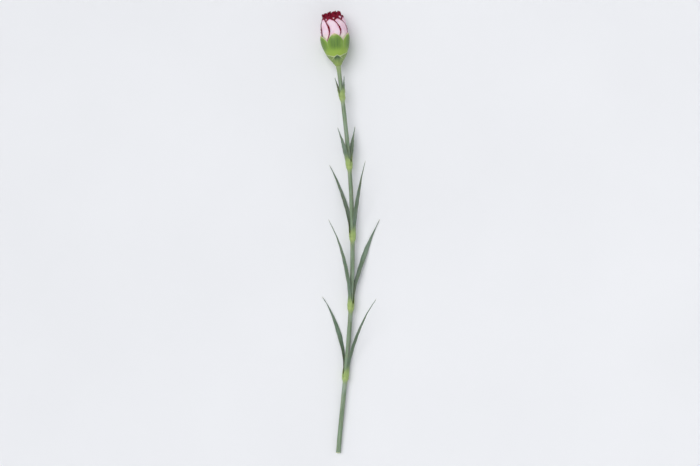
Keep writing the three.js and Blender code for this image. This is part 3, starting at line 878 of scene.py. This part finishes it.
def petal_tree(name, columns, rows, material):
    """The tree for a petal: a sheet that is cut to its outline, laid on its cup and crimped."""
    tree, inputs = shape_tree(
        name, "Azimuth", "Claw radius", "Cup radius", "Twist", "Foot", "Tip", "Claw half turn",
        "Blade half turn", "Thickness", "Ruffle", "Fold", "Crimping", "Flare",
        "Crown foot", "Top stain", "Seed",
    )
    _, azimuth, claw, cup, twist, foot, tip, claw_turn, blade_turn, thickness = inputs[:10]
    ruffle, fold, crimping, flare, crown_foot, top_stain, seed = inputs[10:]
    sheet, u, row = sheet_of(tree, columns, rows)
    v = 1 - (1 - row) ** ROW_CROWDING
    length = tip - foot

    # The margin: rounded over the top, with saw teeth of uneven depth all round the fan.
    drop = 1 - TOP_ROUNDING * abs(u) ** 2.2
    waist = smooth(v * drop, CLAW_END, FAN_START)
    plain_turn = u * blend(waist, claw_turn, blade_turn)
    fan = calc("ARCTAN2", plain_turn * cup, (v * drop - FAN_CENTRE) * length)
    jitter, _ = noise(point(tree, fan * 5, seed, 0.0), detail=1)
    teeth = abs(calc("FRACT", fan * SAW_TEETH + jitter * 2.4 + seed + 20) - 0.5) * 2
    big_steps, _ = noise(point(tree, u * 1.6, seed, 3.0), detail=1)
    notch_depth = teeth * (0.9 + jitter * 1.5) - big_steps * 2.4
    share = v * drop - notch_depth / length * v**9
    above_bulge = calc("MAXIMUM", (share - PETAL_BULGE) / (1 - PETAL_BULGE), 0.0)
    narrowing = 1 - TOP_NARROWING * above_bulge**2
    half_turn = blend(smooth(share, CLAW_END, FAN_START), claw_turn, blade_turn) * narrowing
    side_bite = 1 - teeth * SIDE_BITE * abs(u) ** 14 * smooth(share, 0.35, 0.5)

    # The cup that the petal lies on, and the crimping that its neighbours share.
    leaning = twist * smooth(share, 0.1, 0.35) * u
    limit = cup + leaning
    radius = limit - (limit - claw) * (1 - share / PETAL_BULGE) ** 2
    turn = azimuth + u * half_turn * side_bite
    height = blend(share, foot, tip)
    in_crown = smooth(height, crown_foot - 7, crown_foot + 6)
    sway, _ = noise(around_axis(tree, 1.3, turn, height * 0.07 + 3), detail=1)
    ripple, _ = noise(around_axis(tree, 2.6, turn, height * 0.05 + 9), detail=1)
    crimp = calc("SINE", turn * 9 + sway * 16) * 0.95 + calc("SINE", turn * 19 + ripple * 12) * 0.4
    folds = calc("SINE", u * 6.5 + seed * 3) * fold * smooth(share, 0.5, 1.0)
    waves = folds + crimp * crimping * in_crown
    edge_crimp = calc("SINE", fan * 40 + jitter * 5) * EDGE_CRIMP * smooth(abs(u), 0.8, 1.0)
    edge_crimp = edge_crimp * smooth(share, 0.4, 0.6)
    rolled = flare * smooth(height, crown_foot - 1, crown_foot + 7) ** 1.3
    plain = around_axis(tree, radius + waves + edge_crimp + rolled, turn, height)
    _, push = noise(stretched(plain, 0.11), detail=1)
    _, small_push = noise(stretched(plain, 0.3), detail=1)
    pushed = vector_calc("ADD", stretched(push, ruffle * 4), stretched(small_push, ruffle * 1.3))
    pushed = stretched(pushed, smooth(share, 0.55, 0.95))
    petal = moved(sheet, position=vector_calc("ADD", plain, pushed))

    side_room = (1 - abs(u)) * half_turn * radius
    top_room = (1 - v) * length * 0.95
    petal = kept_as(petal, "margin", calc("SMOOTH_MIN", side_room, top_room, 1.0))
    stain = 1.0 + smooth(share, 0.5, 0.64) * 0.7 + smooth(v, 0.7, 0.95) * (top_stain - 1.7)
    petal = kept_as(petal, "stain_width", stain)
    petal = kept_as(petal, "share", share)
    petal = kept_as(petal, "across_mm", u * half_turn * radius)
    petal = kept_as(petal, "along_mm", share * length)
    petal = kept_as(petal, "fan", fan)
    petal = kept_as(petal, "petal_seed", seed)
    end_tree(closed_shell(petal, thickness * edge_taper(u, row)), material)
    return tree


picotee = petal_skin()
guard_tree = petal_tree("guard_petal_shape", 97, 121, picotee)
inner_tree = petal_tree("inner_petal_shape", 65, 65, picotee)
rng = np.random.default_rng(11)

# From the guard petals to the innermost ring: how much higher or lower it stands, how much it is ruffled,
# folded, crimped and turned out at its top, and how far down the crimson reaches there.
RING_RISE = (0.3, 2.4, 1.0, -0.2, -1.2)
RING_RUFFLE = (0.35, 0.55, 0.8, 1.0, 1.0)
RING_FOLD = (0.25, 0.35, 0.5, 0.6, 0.6)
RING_CRIMPING = (0.8, 1.0, 1.0, 1.0, 0.8)
RING_FLARE = (0.6, 2.0, 1.7, 0.9, -0.7)
RING_STAIN = (3.5, 7.2, 6.0, 5.0, 4.6)


def petal_sizes(node):
    """What a petal's solid says of it: which way it faces, its cup, its claw and its ends."""
    radii, turns, heights = in_head(node)
    foot, tip = heights.min(), heights.max()
    widest = np.abs((heights - foot) / (tip - foot) - PETAL_BULGE) < 0.12
    facing = float(np.angle(np.exp(1j * turns[widest]).mean()))
    away = np.angle(np.exp(1j * (turns - facing)))
    right, left = radii[widest & (away > 0.6)], radii[widest & (away < -0.6)]
    claw = heights < foot + 0.6
    return {
        "Azimuth": facing,
        "Claw radius": radii[claw].max(),
        "Cup radius": (right.max() + left.max()) / 2,
        "Twist": (right.max() - left.max()) / 2,
        "Foot": foot,
        "Tip": tip,
        "Claw half turn": np.abs(away[claw]).max(),
        "Blade half turn": np.abs(away[widest]).max(),
    }


petal_nodes = sorted(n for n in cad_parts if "petal" in n)
guard_top = max(petal_sizes(node)["Tip"] for node in petal_nodes if node.startswith("guard"))
for node in petal_nodes:
    guard = node.startswith("guard")
    ring = 0 if guard else int(node[len("petal_ring")]) - 1
    sizes = petal_sizes(node)
    sizes["Tip"] += rng.uniform(-1.2, 1.0) + RING_RISE[ring]
    sizes["Blade half turn"] *= rng.uniform(0.93, 1.04)
    sizes["Azimuth"] += rng.uniform(-0.07, 0.07)
    sizes["Thickness"] = PETAL_THICKNESS
    sizes["Crown foot"] = guard_top
    sizes["Ruffle"] = RING_RUFFLE[ring]
    sizes["Fold"] = RING_FOLD[ring]
    sizes["Crimping"] = RING_CRIMPING[ring]
    sizes["Flare"] = RING_FLARE[ring]
    sizes["Top stain"] = RING_STAIN[ring]
    sizes["Seed"] = rng.uniform(0, 40)
    petal = grown(f"picotee_{node}", guard_tree if guard else inner_tree, head_place, sizes)
    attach(petal, "root")
    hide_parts(node)


# ---- Studio ----
# The flower lies on a plain pale table that sweeps up into a backdrop all round, under one broad soft light
# from above and a little to the left. The camera looks straight down, with the bloom at the top.

TABLE_RADIUS = 2.9  # in metres, as are the studio's other lengths
TABLE_RINGS = (0.1, 0.2, 0.35, 0.55, 0.8, 1.0)  # as shares of its radius
TABLE_SIDES = 96
COVE_RADIUS = 1.4
COVE_RINGS = 12
WALL_TOP = 3.2
COOL_GREY = (0.775, 0.78, 0.795)
LIGHTER_GREY = (0.80, 0.805, 0.82)
ROOM_LIGHT = 0.60
ROOM_TINT = (0.95, 0.965, 1.0, 1.0)
LAMP_STRENGTH = 1.8
LAMP_BREADTH = 0.85  # the angle that the lamp takes up as seen from the table, in radians
LAMP_AIM = Vector((0.45, -0.38, -1.0))
CAMERA_LENS = 85.0  # in millimetres, as is the sensor
SENSOR_WIDTH = 36.0
FAR_CLIP = 30.0
PICTURE_SHAPE = 466 / 700  # the picture's height over its width
FRAME_FILL = 0.955  # share of the picture's height that the flower takes up

pale_table, tree, shader = new_material("pale_table", 0.75)
mottle, _ = noise(object_place(tree, (0.004, 0.004, 0.004)), detail=2)
finish_surface(tree, shader, colour_mix(tree, smooth(mottle, -0.3, 0.3), COOL_GREY, LIGHTER_GREY))

profile = [(TABLE_RADIUS * share, 0.0) for share in TABLE_RINGS]
for angle in np.linspace(0.12, np.pi / 2, COVE_RINGS):
    profile.append((TABLE_RADIUS + COVE_RADIUS * np.sin(angle), COVE_RADIUS * (1 - np.cos(angle))))
profile.append((TABLE_RADIUS + COVE_RADIUS, WALL_TOP))
table = bmesh.new()
centre = table.verts.new((0, 0, 0))
sweeps = []
for angle in np.linspace(0, 2 * np.pi, TABLE_SIDES, endpoint=False):
    sweeps.append([table.verts.new((r * np.cos(angle), r * np.sin(angle), z)) for r, z in profile])
for here, there in zip(sweeps, sweeps[1:] + sweeps[:1]):
    table.faces.new((centre, here[0], there[0]))
    for i in range(len(profile) - 1):
        table.faces.new((here[i], here[i + 1], there[i + 1], there[i]))
for face in table.faces:
    face.smooth = True
table_mesh = bpy.data.meshes.new("table_and_backdrop")
table.to_mesh(table_mesh)
table.free()
backdrop = bpy.data.objects.new("table_and_backdrop", table_mesh)
bpy.context.scene.collection.objects.link(backdrop)
backdrop.data.materials.append(pale_table)

world = bpy.data.worlds.new("studio")
world.use_nodes = True
world.node_tree.nodes["Background"].inputs["Color"].default_value = ROOM_TINT
world.node_tree.nodes["Background"].inputs["Strength"].default_value = ROOM_LIGHT
bpy.context.scene.world = world

soft_light = bpy.data.lights.new("broad_soft_light", "SUN")
soft_light.energy = LAMP_STRENGTH
soft_light.angle = LAMP_BREADTH
lamp = bpy.data.objects.new("broad_soft_light", soft_light)
lamp.rotation_euler = LAMP_AIM.to_track_quat("-Z", "Y").to_euler()
bpy.context.scene.collection.objects.link(lamp)

low, high = cad_box
middle = (low + high) / 2
lens = bpy.data.cameras.new("camera")
lens.lens = CAMERA_LENS
lens.sensor_width = SENSOR_WIDTH
lens.clip_end = FAR_CLIP
camera = bpy.data.objects.new("camera", lens)
half_view = SENSOR_WIDTH * PICTURE_SHAPE / 2 / CAMERA_LENS
height = (high.y - low.y) / 2 / FRAME_FILL / half_view
camera.location = (middle.x, middle.y, middle.z + height)
bpy.context.scene.collection.objects.link(camera)
bpy.context.scene.camera = camera
bpy.context.scene.view_settings.view_transform = "Standard"
